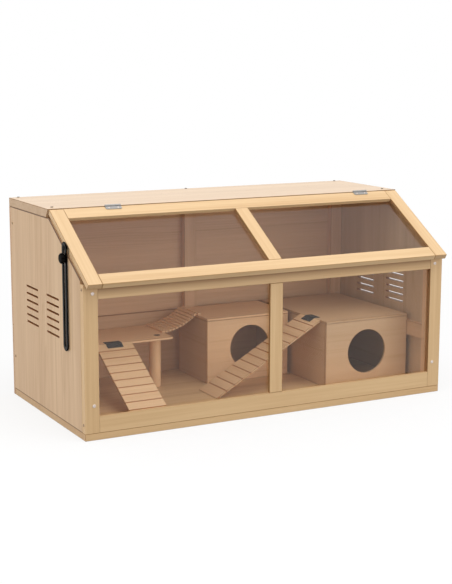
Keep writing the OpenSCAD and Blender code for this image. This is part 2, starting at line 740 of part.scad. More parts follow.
// Each wire runs straight through a slat and bends between the slats
wire_sides = 8;
wire_path = [for (s = slats, e = [-1, 1])
    [s[0] + e * slat_w / 2 * cos(s[2]), s[1] + e * slat_w / 2 * sin(s[2]), s[2]]];
module bridge_wire(y) {
    rings = len(wire_path);
    points = [for (p = wire_path, k = [0:wire_sides - 1]) let (a = k * 360 / wire_sides, up = wire_r * sin(a))
        [p[0] - up * sin(p[2]), y + wire_r * cos(a), p[1] + up * cos(p[2])]];
    sides = [for (i = [0:rings - 2], k = [0:wire_sides - 1])
        let (a = i * wire_sides + k, b = i * wire_sides + (k + 1) % wire_sides)
        each [[a, b, a + wire_sides], [b, b + wire_sides, a + wire_sides]]];
    first = [for (k = [1:wire_sides - 2]) [0, k + 1, k]];
    last_ring = (rings - 1) * wire_sides;
    last = [for (k = [1:wire_sides - 2]) [last_ring, last_ring + k, last_ring + k + 1]];
    polyhedron(points, concat(sides, first, last));
}
module bridge_wires() color("silver")
    for (y = [wire_inset, slat_l - wire_inset]) bridge_wire(bridge_y + y);

// Hideouts: the front and back cover the walls' ends, and the roof covers all four

module hideout_front(house, door) difference() {
    board([house[0], house[1], floor_z], [house[2], board_t, wall_h]);
    translate([house[0] + door[0], house[1] - 1, floor_z + door[1]]) rotate([-90, 0, 0])
        cylinder(h = board_t + 2, d = door_d);
}
module hideout_back(house)
    board([house[0], house[1] + house[3] - board_t, floor_z], [house[2], board_t, wall_h]);
module hideout_wall(house, x)
    board([house[0] + x, house[1] + board_t, floor_z], [board_t, house[3] - 2 * board_t, wall_h]);
module hideout_roof(house)
    board([house[0], house[1], floor_z + wall_h], [house[2], house[3], board_t]);
module hideout_left_front() color("burlywood") hideout_front(hideout_left, [door_left_x, door_left_z]);
module hideout_left_back() color("burlywood") hideout_back(hideout_left);
module hideout_left_outer_wall() color("tan") hideout_wall(hideout_left, 0);
module hideout_left_inner_wall() color("tan") hideout_wall(hideout_left, hideout_left_w - board_t);
module hideout_left_roof() color("burlywood") hideout_roof(hideout_left);
module hideout_right_front() color("burlywood") hideout_front(hideout_right, [door_right_x, door_right_z]);
module hideout_right_back() color("burlywood") hideout_back(hideout_right);
module hideout_right_outer_wall() color("tan") hideout_wall(hideout_right, hideout_right_w - board_t);
module hideout_right_inner_wall() color("tan") hideout_wall(hideout_right, 0);
module hideout_right_roof() color("burlywood") hideout_roof(hideout_right);

// Screws

module post_screws() color("gainsboro") post_screw_set(false);
module side_screws() color("gainsboro") side_screw_set(false);
module top_screws() color("gainsboro") top_screw_set(false);
module hinge_lid_screws() color("gainsboro") hinge_lid_screw_set(false);
module hinge_board_screws() color("gainsboro") hinge_board_screw_set(false);

base_board();
back_plank_lower();
back_plank_upper();
side_panel_left();
side_panel_right();
front_post_left();
front_post_right();
front_upper_rail();
front_lower_rail();
front_mullion();
front_pane_left();
front_pane_right();
front_cleat_left();
front_cleat_right();
back_post_left();
back_post_right();
back_middle_batten();
side_batten_left();
side_batten_right();
top_cleats();
top_board();
lid_stile_left();
lid_stile_right();
lid_top_rail();
lid_bottom_rail();
lid_mullion();
lid_pane_left();
lid_pane_right();
hinge_left_board_leaf();
hinge_left_lid_leaf();
hinge_left_pin();
hinge_right_board_leaf();
hinge_right_lid_leaf();
hinge_right_pin();
stay_bar();
stay_pin();
stay_washer();
stay_knob();
platform_board();
platform_post();
platform_ramp();
hideout_ramp();
ramp_straps();
bridge_slats();
bridge_wires();
hideout_left_front();
hideout_left_back();
hideout_left_outer_wall();
hideout_left_inner_wall();
hideout_left_roof();
hideout_right_front();
hideout_right_back();
hideout_right_outer_wall();
hideout_right_inner_wall();
hideout_right_roof();
post_screws();
side_screws();
top_screws();
hinge_lid_screws();
hinge_board_screws();
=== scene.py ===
import itertools
import math
import random
from typing import NamedTuple

import bmesh
import bpy
from mathutils import Euler, Matrix, Vector


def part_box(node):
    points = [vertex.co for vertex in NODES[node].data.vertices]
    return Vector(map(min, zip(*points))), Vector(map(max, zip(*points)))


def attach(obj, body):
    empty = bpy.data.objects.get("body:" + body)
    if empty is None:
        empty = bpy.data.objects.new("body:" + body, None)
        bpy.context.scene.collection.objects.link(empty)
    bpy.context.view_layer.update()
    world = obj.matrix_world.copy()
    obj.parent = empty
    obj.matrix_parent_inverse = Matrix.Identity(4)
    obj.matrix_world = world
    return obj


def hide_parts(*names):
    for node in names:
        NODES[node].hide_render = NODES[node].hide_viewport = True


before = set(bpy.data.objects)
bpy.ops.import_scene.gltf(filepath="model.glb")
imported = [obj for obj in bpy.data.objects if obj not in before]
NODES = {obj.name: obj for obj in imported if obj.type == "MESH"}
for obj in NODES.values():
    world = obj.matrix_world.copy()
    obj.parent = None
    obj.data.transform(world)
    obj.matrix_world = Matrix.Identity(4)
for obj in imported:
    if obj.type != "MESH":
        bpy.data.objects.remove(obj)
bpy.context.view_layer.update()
scene = bpy.context.scene
scene.view_settings.view_transform = "Standard"
SIDES = ("left", "right")
AXES = [Vector(row) for row in Matrix.Identity(3)]
X_AXIS, Y_AXIS, Z_AXIS = AXES

# The closed lid: its slope, the way up it and the way out of its upper face
LID_SLOPE = math.radians(31.4)
LID_UP = Vector((0, math.cos(LID_SLOPE), math.sin(LID_SLOPE)))
LID_OUT = Vector((0, -math.sin(LID_SLOPE), math.cos(LID_SLOPE)))


# Colours

def srgb(r, g, b):
    """Linear colour from 0-255 sRGB values."""
    line = [c / 255 for c in (r, g, b)]
    return tuple(c / 12.92 if c <= 0.04045 else ((c + 0.055) / 1.055) ** 2.4 for c in line)


def grey(level):
    return (level, level, level)


def tint(colour, by):
    """A colour times one factor, or times one for each channel."""
    factors = by if isinstance(by, tuple) else grey(by)
    return tuple(c * f for c, f in zip(colour, factors))


# Camera, fitted to the photograph's edges

PHOTO_WIDTH = 452  # pixels
FOCAL_LENGTH = 1332.97  # pixels
SENSOR_WIDTH = 36  # millimetres
CAMERA_PLACE = (-1.602, -3.0007, 0.8911)
CAMERA_YAW = math.radians(-28.0385)
CAMERA_PITCH = math.radians(10.3822)
CAMERA_ROLL = math.radians(0.1435)


def make_camera():
    data = bpy.data.cameras.new("camera")
    data.sensor_fit = "HORIZONTAL"
    data.sensor_width = SENSOR_WIDTH
    data.lens = SENSOR_WIDTH * FOCAL_LENGTH / PHOTO_WIDTH
    data.clip_end = 100
    flat = math.cos(CAMERA_PITCH)
    right = Vector((math.cos(CAMERA_YAW), math.sin(CAMERA_YAW), 0))
    ahead = Vector((-math.sin(CAMERA_YAW) * flat, math.cos(CAMERA_YAW) * flat, -math.sin(CAMERA_PITCH)))
    up = right.cross(ahead)
    turned = right * math.cos(CAMERA_ROLL) + up * math.sin(CAMERA_ROLL)
    tilted = up * math.cos(CAMERA_ROLL) - right * math.sin(CAMERA_ROLL)
    matrix = Matrix((turned, tilted, -ahead)).transposed().to_4x4()
    matrix.translation = CAMERA_PLACE
    camera = bpy.data.objects.new("camera", data)
    camera.matrix_world = matrix
    scene.collection.objects.link(camera)
    scene.camera = camera


make_camera()


# Node trees

class Tree:
    """The node tree of a material or a world, with short calls to add nodes and links."""

    def __init__(self, owner):
        self.owner = owner
        owner.use_nodes = True
        self.nodes = owner.node_tree.nodes
        self.links = owner.node_tree.links
        self.shader = self.nodes.get("Principled BSDF")

    def add(self, kind, **values):
        node = self.nodes.new(kind)
        for key, value in values.items():
            setattr(node, key, value)
        return node

    def put(self, socket, value):
        if isinstance(value, bpy.types.NodeSocket):
            self.links.new(value, socket)
        else:
            socket.default_value = value

    def fill(self, node, **values):
        """Puts values into a node's sockets by name, with _ for a space; a tuple of three is a colour."""
        for name, value in values.items():
            value = (*value, 1) if isinstance(value, tuple) else value
            self.put(node.inputs[name.replace("_", " ")], value)

    def math(self, operation, a, b=0.0):
        node = self.add("ShaderNodeMath", operation=operation)
        self.put(node.inputs[0], a)
        self.put(node.inputs[1], b)
        return node.outputs[0]

    def plus(self, a, b):
        return self.math("ADD", a, b)

    def minus(self, a, b):
        return self.math("SUBTRACT", a, b)

    def times(self, a, b):
        return self.math("MULTIPLY", a, b)

    def absolute(self, a):
        return self.math("ABSOLUTE", a)

    def span(self, value, low, high, to_low=0.0, to_high=1.0):
        """Value between low and high, carried over to another span and held at its ends."""
        node = self.add("ShaderNodeMapRange")
        self.fill(node, Value=value, From_Min=low, From_Max=high, To_Min=to_low, To_Max=to_high)
        return node.outputs[0]

    def dot(self, vector, direction):
        node = self.add("ShaderNodeVectorMath", operation="DOT_PRODUCT")
        self.put(node.inputs[0], vector)
        self.put(node.inputs[1], direction)
        return node.outputs["Value"]

    def length(self, vector):
        node = self.add("ShaderNodeVectorMath", operation="LENGTH")
        self.put(node.inputs[0], vector)
        return node.outputs["Value"]

    def place(self):
        return self.add("ShaderNodeTexCoord").outputs["Object"]

    def facing(self):
        return self.add("ShaderNodeTexCoord").outputs["Normal"]

    def mapped(self, location=(0, 0, 0), rotation=(0, 0, 0), scale=(1, 1, 1), vector=None):
        node = self.add("ShaderNodeMapping")
        self.put(node.inputs["Vector"], vector or self.place())
        self.put(node.inputs["Location"], location)
        self.put(node.inputs["Rotation"], rotation)
        self.put(node.inputs["Scale"], scale)
        return node.outputs[0]

    def noise(self, vector, scale=1.0, detail=3.0, roughness=0.5, distortion=0.0):
        node = self.add("ShaderNodeTexNoise")
        self.fill(node, Vector=vector, Scale=scale, Detail=detail, Roughness=roughness, Distortion=distortion)
        return node.outputs["Fac"]

    def ramp(self, factor, *stops):
        node = self.add("ShaderNodeValToRGB")
        line = node.color_ramp
        while len(line.elements) < len(stops):
            line.elements.new(0.5)
        for element, (place, colour) in zip(line.elements, stops):
            element.position = place
            element.color = (*colour, 1)
        self.put(node.inputs[0], factor)
        return node.outputs[0]

    def mix(self, factor, a, b):
        node = self.add("ShaderNodeMix", data_type="RGBA")
        self.put(node.inputs["Factor"], factor)
        colours = [s for s in node.inputs if s.type == "RGBA"]
        for socket, value in zip(colours, (a, b)):
            self.put(socket, (*value, 1) if isinstance(value, tuple) else value)
        return [s for s in node.outputs if s.type == "RGBA"][0]

    def bump(self, height, strength, distance):
        node = self.add("ShaderNodeBump")
        self.fill(node, Height=height, Strength=strength, Distance=distance)
        self.put(self.shader.inputs["Normal"], node.outputs[0])

    def set(self, **values):
        self.fill(self.shader, **values)

    def blend(self, factor, other):
        """Shows another shader in place of the material's own, by a factor."""
        join = self.add("ShaderNodeMixShader")
        self.put(join.inputs[0], factor)
        self.put(join.inputs[1], self.shader.outputs[0])
        self.put(join.inputs[2], other.outputs[0])
        self.put(self.nodes["Material Output"].inputs["Surface"], join.outputs[0])


def new_tree(name):
    return Tree(bpy.data.materials.new(name))


# Boards

# Tints of rounded edges, as shares of a board's dark tone
OUTER_WEAR = (0.86, 0.76, 0.66)
INNER_WEAR = (0.68, 0.52, 0.4)


class Kind(NamedTuple):
    """A kind of board: its tones, its grain, its edges and its finish."""

    light: tuple
    dark: tuple
    ring: float  # pitch of the growth rings
    pith: float  # distance of the pith from the board's middle
    edge: float  # width of a rounded edge
    polish: float  # roughness of an upper face
    wear: tuple = OUTER_WEAR
    calm: bool = False  # even in tone, with close lines
    lines: float = 0.16  # strength of the dark lines


KINDS = {
    "frame": Kind(
        srgb(230, 195, 147), srgb(202, 160, 110), ring=0.0042, pith=0.085, edge=0.0008, polish=0.33,
    ),
    "lid": Kind(
        srgb(232, 199, 153), srgb(206, 166, 117), ring=0.0042, pith=0.085, edge=0.0008, polish=0.33,
    ),
    "panel": Kind(
        srgb(224, 190, 151), srgb(194, 155, 114), ring=0.008, pith=0.4, edge=0.0006, polish=0.33,
    ),
    "top": Kind(
        srgb(230, 199, 162), srgb(206, 171, 131), ring=0.008, pith=0.4, edge=0.0008, polish=0.2,
    ),
    "inner": Kind(
        srgb(231, 189, 146), srgb(196, 149, 107), ring=0.0055, pith=0.16, edge=0.0006, polish=0.36,
        wear=INNER_WEAR, calm=True, lines=0.11,
    ),
    "house": Kind(
        srgb(239, 200, 155), srgb(221, 177, 130), ring=0.0055, pith=0.16, edge=0.0007, polish=0.36,
        wear=INNER_WEAR, calm=True, lines=0.26,
    ),
    "tread": Kind(
        srgb(243, 206, 160), srgb(216, 173, 125), ring=0.0048, pith=0.12, edge=0.0003, polish=0.36,
        wear=INNER_WEAR,
    ),
}

# Scales of the dark lines across the grain, rings that the grain bends over, and roughness of a board's sides
CLOSE_LINES = 130
WIDE_LINES = 75
RINGS_BENT = 9
SIDE_FINISH = 0.36

# Turns that lay a board's grain along the texture's X
GRAIN = {
    "X": (0, 0, 0),
    "Y": (0, 0, -math.pi / 2),
    "Z": (0, math.pi / 2, 0),
    "lid": (-LID_SLOPE, 0, -math.pi / 2),
    "lid_x": (-LID_SLOPE, 0, 0),
}

# Kind and grain of each board
WOODS = {
    "base_board": ("frame", "X"), "back_plank_lower": ("inner", "X"), "back_plank_upper": ("inner", "X"),
    "side_panel_left": ("panel", "Z"), "side_panel_right": ("panel", "Z"), "top_board": ("top", "X"),
    "front_post_left": ("frame", "Z"), "front_post_right": ("frame", "Z"), "front_mullion": ("frame", "Z"),
    "front_upper_rail": ("frame", "X"), "front_lower_rail": ("frame", "X"),
    "front_cleat_left": ("inner", "Z"), "front_cleat_right": ("inner", "Z"),
    "back_post_left": ("inner", "Z"), "back_post_right": ("inner", "Z"),
    "back_middle_batten": ("inner", "Z"),
    "side_batten_left": ("inner", "Y"), "side_batten_right": ("inner", "Y"), "top_cleats": ("inner", "Y"),
    "lid_stile_left": ("lid", "lid"), "lid_stile_right": ("lid", "lid"), "lid_mullion": ("lid", "lid"),
    "lid_top_rail": ("lid", "lid_x"), "lid_bottom_rail": ("lid", "lid_x"),
    "platform_board": ("house", "X"), "platform_post": ("house", "Z"),
    "platform_ramp": ("tread", "X"), "hideout_ramp": ("tread", "Y"), "bridge_slats": ("tread", "Y"),
}
HIDEOUT_GRAIN = {"front": "X", "back": "X", "roof": "X", "outer_wall": "Y", "inner_wall": "Y"}
for side in SIDES:
    for board, grain in HIDEOUT_GRAIN.items():
        WOODS[f"hideout_{side}_{board}"] = ("house", grain)

# Boards painted lighter or darker than the rest of their kind, as painted light and shade for how light falls
# on them inside the cage
LIT_AND_SHADED_TONES = {
    "back_plank_lower": 0.94, "side_panel_right": 0.86, "side_batten_right": 0.88,
    "platform_post": 1.08, "platform_board": 1.1, "bridge_slats": 1.12,
    "hideout_left_front": 1.05, "hideout_left_roof": 1.08,
    "hideout_right_front": 0.84, "hideout_right_roof": 0.8,
    "hideout_left_outer_wall": 0.77, "hideout_left_inner_wall": 0.77,
    "hideout_right_outer_wall": 0.77, "hideout_right_inner_wall": 0.77,
}

# Ramps: the level way that each one runs down, the height of its foot's edge, and its grooves
RAMPS = {"platform_ramp": -Y_AXIS, "hideout_ramp": -X_AXIS}
RAMP_FOOT = 0.002
GROOVE_START = 0.027
GROOVE_PITCH = 0.0265
GROOVE_SIDES = (0.09, 0.055)  # distances from a groove's middle, in pitches, between which its painted shade sets in
GROOVE_DEPTHS = (-0.0002, -0.0009)  # heights over the ramp's face between which it sets in
# Painted shade in the ramps' grooves
GROOVE_PAINTED_SHADE = srgb(196, 116, 60)

# Hole through the platform into its post: its shift from the post's middle, its radius and the painted shade
# in it
HOLE_SHIFT = X_AXIS * 0.006
HOLE_RADIUS = 0.008
HOLE_RIM = (0.0008, 0.0003)  # distances outside it between which the painted shade sets in
HOLE_SHADE = srgb(66, 48, 38)

# Side panels' vents: their middle in Y and Z, a distance from it that takes in every slot, and their stain
VENT_MIDDLE = Vector((0, 0.0175, 0.261))
VENT_REACH = 0.135
VENT_BURN = srgb(158, 96, 44)

# Sides of the uprights that look into the pane openings, which are painted in shade; a mullion has both
RABBETS = {
    "front_post_left": X_AXIS, "front_post_right": -X_AXIS, "front_mullion": X_AXIS,
    "lid_stile_left": X_AXIS, "lid_stile_right": -X_AXIS, "lid_mullion": X_AXIS,
}

# Heights over the upper rail's lower edge between which a painted shadow of the lid's lip darkens it, more
# towards its top
LIP_SHADOW_FROM = 0.005
LIP_SHADOW_TO = 0.022

# Dark line along the edges of the top board and side panels: its width, its width under the lid, where it is
# widened into a painted shadow of the lid, and its fade
EDGE_LINE = 0.002
LID_SHADOW_LINE = 0.0038
EDGE_FADE = 0.0008


def grooves(tree, node):
    """1 in the grooves across a ramp, where they are painted in shade."""
    low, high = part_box(node)
    level = RAMPS[node]
    slope = math.atan((high.z - low.z - RAMP_FOOT) / abs(level.dot(high - low)))
    down = level * math.cos(slope) - Z_AXIS * math.sin(slope)
    out = level * math.sin(slope) + Z_AXIS * math.cos(slope)
    away = tree.mapped(location=-high)
    along = tree.math("DIVIDE", tree.minus(tree.dot(away, down), GROOVE_START), GROOVE_PITCH)
    near = tree.absolute(tree.minus(along, tree.math("ROUND", along)))
    return tree.times(tree.span(near, *GROOVE_SIDES), tree.span(tree.dot(away, out), *GROOVE_DEPTHS))


def pane_sides(tree, node):
    """1 on the sides of an upright that look into the pane openings, where painted shade goes."""
    inward = tree.dot(tree.facing(), RABBETS[node])
    if "mullion" in node:
        inward = tree.absolute(inward)
    return tree.span(inward, 0.8, 0.95)


def platform_hole(tree):
    """1 in the hole through the platform and on its rim, where it is painted in shade."""
    low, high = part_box("platform_post")
    away = tree.mapped(location=-(low + high) / 2 - HOLE_SHIFT)
    distance = tree.length(tree.mapped(scale=(1, 1, 0), vector=away))
    return tree.span(tree.minus(distance, HOLE_RADIUS), *HOLE_RIM)


def vent_walls(tree):
    """1 on the walls of a side panel's vents."""
    distance = tree.length(tree.mapped(location=-VENT_MIDDLE, scale=(0, 1, 1)))
    walls = tree.span(tree.absolute(tree.dot(tree.facing(), X_AXIS)), 0.6, 0.3)
    return tree.times(walls, tree.span(distance, VENT_REACH * 1.04, VENT_REACH))


def box_edges(tree, node):
    """1 along the edges of the top board, or of a side panel where it meets the base, the top and the lid;
    under the lid the line is a painted shadow of the lid.
    """
    place = tree.place()
    low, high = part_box(node)
    panel = node.startswith("side_panel")
    near = []
    for axis in (0, 2) if panel else range(3):
        value = tree.dot(place, AXES[axis])
        inside = tree.math("MINIMUM", tree.minus(value, low[axis]), tree.minus(high[axis], value))
        near.append(tree.span(inside, EDGE_LINE, EDGE_LINE - EDGE_FADE))
    # Under the lid the line is wider: a painted shadow of the lid
    if panel:
        slope = max(v.co.dot(LID_OUT) for v in NODES[node].data.vertices)
        under = tree.minus(slope, tree.dot(place, LID_OUT))
        near.append(tree.span(under, LID_SHADOW_LINE, LID_SHADOW_LINE - EDGE_FADE))
    largest = 0.0
    for one, other in itertools.combinations(near, 2):
        largest = tree.math("MAXIMUM", largest, tree.times(one, other))
    return largest


def marks(tree, node, kind, brown):
    """Stained places and places of painted shade or shadow on a board, each as a factor and a colour."""
    if node in RAMPS:
        # painted shade in the ramp's grooves
        yield tree.times(grooves(tree, node), 0.75), GROOVE_PAINTED_SHADE
    if node in RABBETS:
        # painted shade on the sides that look into the pane openings
        yield tree.times(pane_sides(tree, node), 0.85), brown
    # Painted shadow of the lid's lip on the upper rail, darker towards its top
    if node == "front_upper_rail":
        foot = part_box(node)[0].z
        height = tree.dot(tree.place(), Z_AXIS)
        yield tree.span(height, foot + LIP_SHADOW_FROM, foot + LIP_SHADOW_TO, to_high=0.6), brown
    # painted shade in the hole through the platform
    if node in ("platform_board", "platform_post"):
        yield platform_hole(tree), HOLE_SHADE
    if kind == "panel":
        yield tree.times(vent_walls(tree), 0.85), VENT_BURN
    # dark edge lines, with a painted shadow of the lid on the side panels
    if kind in ("top", "panel"):
        yield box_edges(tree, node), tint(brown, 0.6)


def grain_place(tree, node, turn, pith, seed):
    """Places in a log that runs along X, with the board's middle off the pith."""
    pick = random.Random(seed)
    low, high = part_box(node)
    middle = turn.to_matrix() @ ((low + high) / 2)
    side = pick.uniform(0.9, 1.35) * pick.choice((-1, 1))
    start = Vector((pick.uniform(-3, 3), pith * math.cos(side), pith * math.sin(side)))
    return tree.mapped(location=start - middle, rotation=turn)


def wood(node, kind, grain, seed):
    """Planed softwood: growth rings round a pith beside the board, streaks, fibres, drift and darker ends,
    with painted light and shade on some boards.
    """
    look = KINDS[kind]
    # Painted light and shade: some boards' tones are raised or lowered for how light falls on them
    light, dark = (tint(tone, LIT_AND_SHADED_TONES.get(node, 1.0)) for tone in (look.light, look.dark))
    warm = tint(light, (1.0, 0.94, 0.86))
    brown = tint(dark, (0.5, 0.38, 0.3))
    tree = new_tree(f"wood_{node}")
    turn = Euler(GRAIN[grain])
    base = grain_place(tree, node, turn, look.pith, seed)

    def stretched(along, across, **values):
        """Noise with one scale along the grain and another across it."""
        return tree.noise(tree.mapped(scale=(along, across, across), vector=base), **values)

    bow = tree.times(stretched(along=1.2, across=11), look.ring * RINGS_BENT)
    radius = tree.plus(tree.length(tree.mapped(scale=(0, 1, 1), vector=base)), bow)
    saw = tree.math("FRACT", tree.math("DIVIDE", radius, look.ring))
    rings = tree.ramp(saw, (0.0, grey(0.1)), (0.5, grey(0.22)), (0.88, grey(1)), (1.0, grey(0.1)))
    rings = tree.times(rings, tree.span(stretched(along=0.8, across=16, detail=2), 0.42, 0.64))
    broad = stretched(along=0.7, across=24, detail=4, roughness=0.62, distortion=0.3)
    if look.calm:
        broad = tree.span(broad, 0.0, 1.0, to_low=0.25, to_high=0.75)
    bundle = stretched(along=3.5, across=150, roughness=0.6)
    fibre = stretched(along=9, across=480, detail=4, roughness=0.65)
    close = CLOSE_LINES if look.calm else WIDE_LINES
    lines = stretched(along=0.55, across=close, roughness=0.55, distortion=0.4)
    tone = tree.span(lines, 0.56, 0.72, to_high=look.lines)
    for layer, share in ((broad, 0.62), (rings, 0.14), (fibre, 0.16), (bundle, 0.3)):
        tone = tree.plus(tone, tree.times(layer, share))
    colour = tree.ramp(tone, (0.43, light), (0.8, dark))
    drift = stretched(along=1.6, across=4, detail=2)
    colour = tree.mix(tree.times(drift, 0.35), colour, warm)

    facing = tree.facing()
    ends = tree.span(tree.absolute(tree.dot(facing, turn.to_matrix().transposed() @ X_AXIS)), 0.6, 0.9)
    colour = tree.mix(tree.times(ends, 0.3), colour, brown)
    for factor, stain_or_painted_shade in marks(tree, node, kind, brown):
        colour = tree.mix(factor, colour, stain_or_painted_shade)
    finish = tree.span(tree.dot(facing, Z_AXIS), 0.5, 0.9, to_low=SIDE_FINISH, to_high=look.polish)
    tree.set(Base_Color=colour, Roughness=tree.plus(finish, tree.times(fibre, 0.22)), Specular_IOR_Level=0.5)
    tree.bump(tree.plus(tree.times(fibre, 0.8), tree.times(rings, 0.2)), strength=0.25, distance=0.0005)
    return tree.owner


def worn_edge(name, colour):
    """Darker, closed grain on a board's rounded edges and down its joints."""
    tree = new_tree(name)
    spots = tree.noise(tree.place(), 260, detail=4, roughness=0.6)
    tree.set(Base_Color=tree.mix(spots, colour, tint(colour, 0.7)), Specular_IOR_Level=0.25)
    tree.set(Roughness=tree.plus(0.55, tree.times(spots, 0.2)))
    tree.bump(spots, strength=0.2, distance=0.0003)
    return tree.owner


# Metal, plastic and clear sheet

def metal(name, colour, roughness, metallic=1.0, scratch=(40, 900, 900)):
    """Plated sheet metal with faint brushing and cloudy dulling."""
    tree = new_tree(name)
    fine = tree.noise(tree.mapped(scale=scratch), roughness=0.6)
    cloud = tree.noise(tree.place(), 55)
    tree.set(Base_Color=tree.mix(tree.times(cloud, 0.4), colour, tint(colour, 0.76)), Metallic=metallic)
    tree.set(Roughness=tree.plus(roughness, tree.times(fine, 0.16)))
    tree.bump(fine, strength=0.12, distance=0.0002)
    return tree.owner


def coated(name, colour, roughness, gloss, peel_scale=1400):
    """Dark coated metal or moulded plastic with a fine orange-peel grain and a little dust."""
    tree = new_tree(name)
    peel = tree.noise(tree.place(), peel_scale, roughness=0.6)
    dust = tree.noise(tree.place(), 70, detail=4)
    tree.set(Base_Color=tree.mix(tree.times(dust, 0.4), colour, tint(colour, 1.8)))
    tree.set(Roughness=tree.plus(roughness, tree.times(peel, 0.18)), Specular_IOR_Level=gloss)
    tree.bump(peel, strength=0.2, distance=0.0002)
    return tree.owner


def clear(name, colour, bend, passed):
    """Clear sheet with faint wipe marks in its gloss; passed is the share of light that it lets in."""
    tree = new_tree(name)
    wipe = tree.noise(tree.mapped(scale=(3, 3, 9)), detail=4, distortion=1.5)
    tree.set(Base_Color=colour, Transmission_Weight=1.0, IOR=bend, Roughness=tree.times(wipe, 0.03))
    through = tree.add("ShaderNodeBsdfTransparent")
    tree.fill(through, Color=grey(passed))
    path = tree.add("ShaderNodeLightPath").outputs
    tree.blend(tree.math("MAXIMUM", path["Is Shadow Ray"], path["Is Diffuse Ray"]), through)
    return tree.owner


# Dressing of the pieces

WELD_REACH = 0.00002  # metres between points that are one
JOINT_GAP = 0.0004  # how far a board draws back from its joints
SHEET_EDGE = 0.0003  # rounding of sheet metal


def new_piece(name, bm):
    mesh = bpy.data.meshes.new(name)
    bm.to_mesh(mesh)
    bm.free()
    piece = bpy.data.objects.new(name, mesh)
    scene.collection.objects.link(piece)
    return piece


def planed_board(node):
    """Convex board in place of a CAD board whose screw holes break through its upper face."""
    bm = bmesh.new()
    bm.from_mesh(NODES[node].data)
    bmesh.ops.remove_doubles(bm, verts=bm.verts, dist=WELD_REACH)
    hull = bmesh.ops.convex_hull(bm, input=bm.verts)
    inside = {*hull["geom_interior"], *hull["geom_unused"]}
    loose = [g for g in inside if isinstance(g, bmesh.types.BMVert)]
    bmesh.ops.delete(bm, geom=loose, context="VERTS")
    shell = {g for g in hull["geom"] if g.is_valid and isinstance(g, bmesh.types.BMFace)}
    bmesh.ops.delete(bm, geom=[f for f in bm.faces if f not in shell], context="FACES")
    bmesh.ops.dissolve_limit(bm, angle_limit=math.radians(1), verts=bm.verts, edges=bm.edges)
    piece = new_piece(f"{node}_planed", bm)
    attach(piece, "cage")
    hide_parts(node)
    return piece


def dress(piece, material, bevel=0.0, segments=2, shrink=0.0, edge=None):
    """Gives a piece its material; modifiers soften its edges and open a hairline at its joints."""
    piece.data.materials.clear()
    piece.data.materials.append(material)
    if edge:
        piece.data.materials.append(edge)
    if not bevel:
        return
    weld = piece.modifiers.new("weld", "WELD")
    weld.merge_threshold = WELD_REACH
    plane = piece.modifiers.new("plane", "DECIMATE")
    plane.decimate_type = "DISSOLVE"
    plane.angle_limit = math.radians(0.5)
    if shrink:
        thin = piece.modifiers.new("thin", "DISPLACE")
        thin.strength = -shrink
        thin.mid_level = 0.0
    soft = piece.modifiers.new("soft", "BEVEL")
    soft.width = bevel
    soft.segments = segments
    soft.limit_method = "ANGLE"
    soft.angle_limit = math.radians(35)
    soft.use_clamp_overlap = True
    if edge:
        soft.material = 1
    even = piece.modifiers.new("even", "WEIGHTED_NORMAL")
    even.keep_sharp = True


EDGES = {kind: worn_edge(f"edge_{kind}", tint(look.dark, look.wear)) for kind, look in KINDS.items()}
for seed, (node, (kind, grain)) in enumerate(WOODS.items(), start=100):
    material = wood(node, kind, grain, seed)
    piece = planed_board(node) if node == "top_board" else NODES[node]
    if node == "bridge_slats":
        dress(piece, material, bevel=0.001, segments=3, edge=EDGES[kind])
    else:
        gap = 0.0 if kind == "panel" else JOINT_GAP
        dress(piece, material, bevel=KINDS[kind].edge, shrink=gap, edge=EDGES[kind])

FRONT_CLEAR = clear("front_clear", (0.95, 0.94, 0.93), bend=1.34, passed=1.0)
LID_CLEAR = clear("lid_clear", (0.94, 0.94, 0.94), bend=1.27, passed=0.85)
HINGE = metal("hinge_steel", srgb(168, 166, 164), roughness=0.38, metallic=0.75)
for side in SIDES:
    dress(NODES[f"front_pane_{side}"], FRONT_CLEAR)
    dress(NODES[f"lid_pane_{side}"], LID_CLEAR)
    for part in ("board_leaf", "lid_leaf", "pin"):
        dress(NODES[f"hinge_{side}_{part}"], HINGE, bevel=SHEET_EDGE)

STEEL = metal("wire_steel", srgb(150, 150, 150), roughness=0.4)
dress(NODES["bridge_wires"], STEEL)
dress(NODES["stay_washer"], STEEL, bevel=0.0002)

BAR_FACE = coated("black_metal", srgb(8, 6, 5), roughness=0.22, gloss=0.06)
BAR_EDGE = coated("black_edge", srgb(4, 3, 2), roughness=0.7, gloss=0.0)
PIN = coated("black_pin", srgb(14, 12, 11), roughness=0.6, gloss=0.1)
KNOB = coated("black_plastic", srgb(11, 9, 8), roughness=0.6, gloss=0.06, peel_scale=900)
STRAP = coated("dark_strap", srgb(60, 55, 52), roughness=0.65, gloss=0.12, peel_scale=1100)
dress(NODES["stay_bar"], BAR_FACE, bevel=0.0014, segments=3, edge=BAR_EDGE)
dress(NODES["stay_pin"], PIN, bevel=SHEET_EDGE)
dress(NODES["stay_knob"], KNOB, bevel=0.0006, segments=3)
dress(NODES["ramp_straps"], STRAP, bevel=SHEET_EDGE)


# Screw heads

HEAD_STEPS = 32
HEAD_HEIGHT = 0.0015
HINGE_HEAD_HEIGHT = 0.0008
SCREW_APART = 0.012  # points closer than this, seen along the screws, are on one screw

# A head of one unit in radius and height: radius and height of its rings, from its seat to its crown
HEAD_RINGS = ((1, 0), (1, 0.3), (0.95, 0.58), (0.82, 0.83), (0.6, 0.96), (0.3, 1.0))

# One slot of the cross recess: its length, breadth and height at the foot and at the mouth
RECESS_FOOT = (0.75, 0.2, 0.4)
RECESS_MOUTH = (1.3, 0.3, 1.2)


def recess_cutter(turn):
    bm = bmesh.new()
    bmesh.ops.create_cube(bm, size=1)
    for v in bm.verts:
        length, breadth, height = RECESS_FOOT if v.co.z < 0 else RECESS_MOUTH
        v.co = (v.co.x * length, v.co.y * breadth, height)
    bmesh.ops.rotate(bm, verts=bm.verts, matrix=Matrix.Rotation(turn, 3, "Z"))
    return new_piece("cutter", bm)


